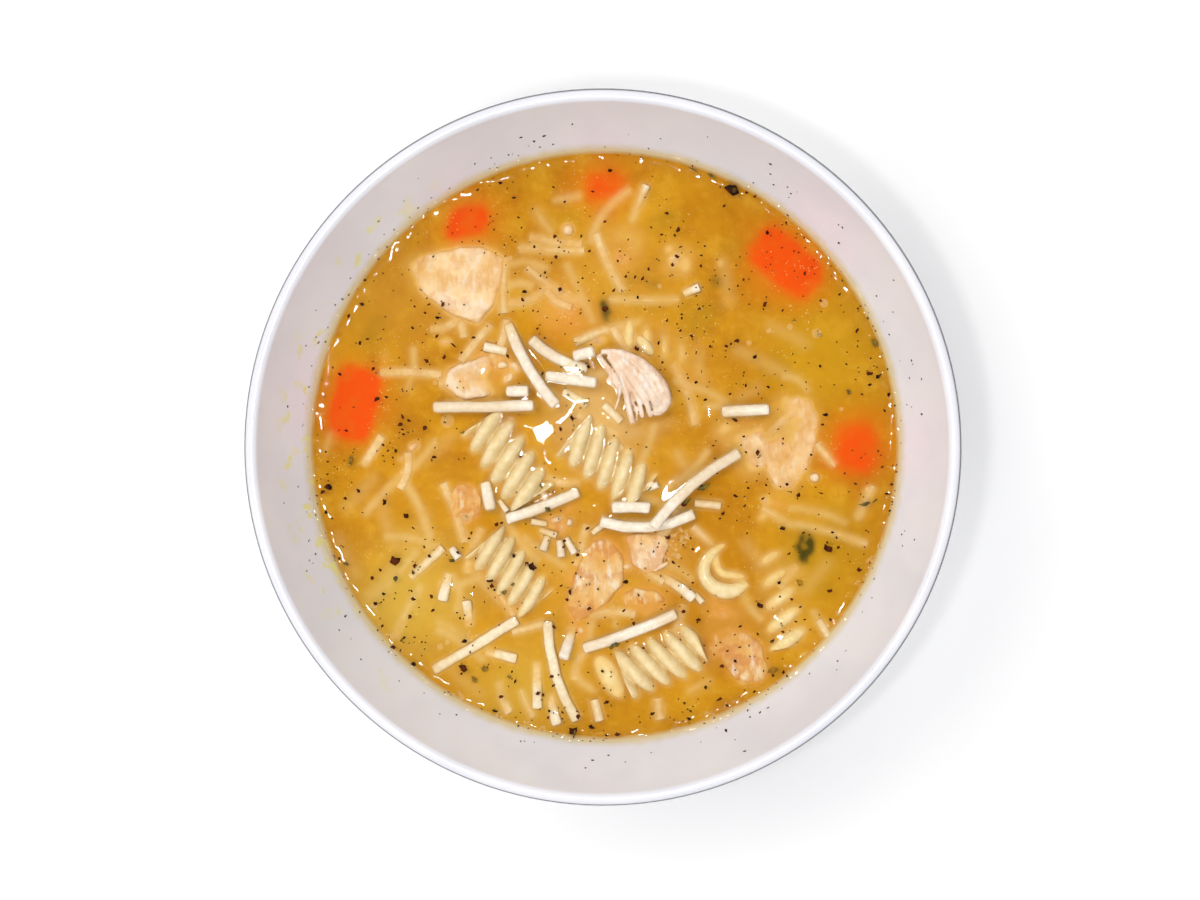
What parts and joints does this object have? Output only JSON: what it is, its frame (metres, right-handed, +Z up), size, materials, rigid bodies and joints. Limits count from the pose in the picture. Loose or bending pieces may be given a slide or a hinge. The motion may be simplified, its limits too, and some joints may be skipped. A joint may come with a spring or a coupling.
{
  "type": "chicken noodle soup",
  "caption": "Round bowl on a foot ring, filled with clear golden broth that holds short noodles, spiral pasta, chicken chunks and diced carrot.",
  "frame": {"origin": "centre of the foot ring, on the surface that the bowl stands on", "axes": "+Z up through the bowl's mouth; +Y towards the side of the soup where the carrots lie nearest the wall, +X to its right"},
  "size_m": [0.155, 0.155, 0.062],
  "materials": {
    "glazed_ceramic": "glossy white glaze",
    "broth": "clear golden liquid with a wet surface",
    "noodle": "soft and moist",
    "spiral_pasta": "soft and moist",
    "chicken": "fibrous and moist",
    "carrot": "cooked, smooth and moist"
  },
  "bodies": {
    "root": {"bowl": "glazed_ceramic", "broth": "broth", "noodle_01": "noodle", "noodle_02": "noodle", "noodle_03": "noodle", "noodle_04": "noodle", "noodle_05": "noodle", "noodle_06": "noodle", "noodle_07": "noodle", "noodle_08": "noodle", "noodle_09": "noodle", "noodle_10": "noodle", "noodle_11": "noodle", "noodle_12": "noodle", "noodle_13": "noodle", "noodle_14": "noodle", "noodle_15": "noodle", "noodle_16": "noodle", "noodle_17": "noodle", "noodle_18": "noodle", "noodle_19": "noodle", "noodle_20": "noodle", "noodle_21": "noodle", "noodle_22": "noodle", "noodle_23": "noodle", "noodle_24": "noodle", "spiral_1": "spiral_pasta", "spiral_2": "spiral_pasta", "spiral_3": "spiral_pasta", "spiral_4": "spiral_pasta", "spiral_5": "spiral_pasta", "chicken_1": "chicken", "chicken_2": "chicken", "chicken_3": "chicken", "chicken_4": "chicken", "chicken_5": "chicken", "chicken_6": "chicken", "chicken_7": "chicken", "chicken_8": "chicken", "chicken_9": "chicken", "carrot_1": "carrot", "carrot_2": "carrot", "carrot_3": "carrot", "carrot_4": "carrot", "carrot_5": "carrot"}
  },
  "joints": []
}
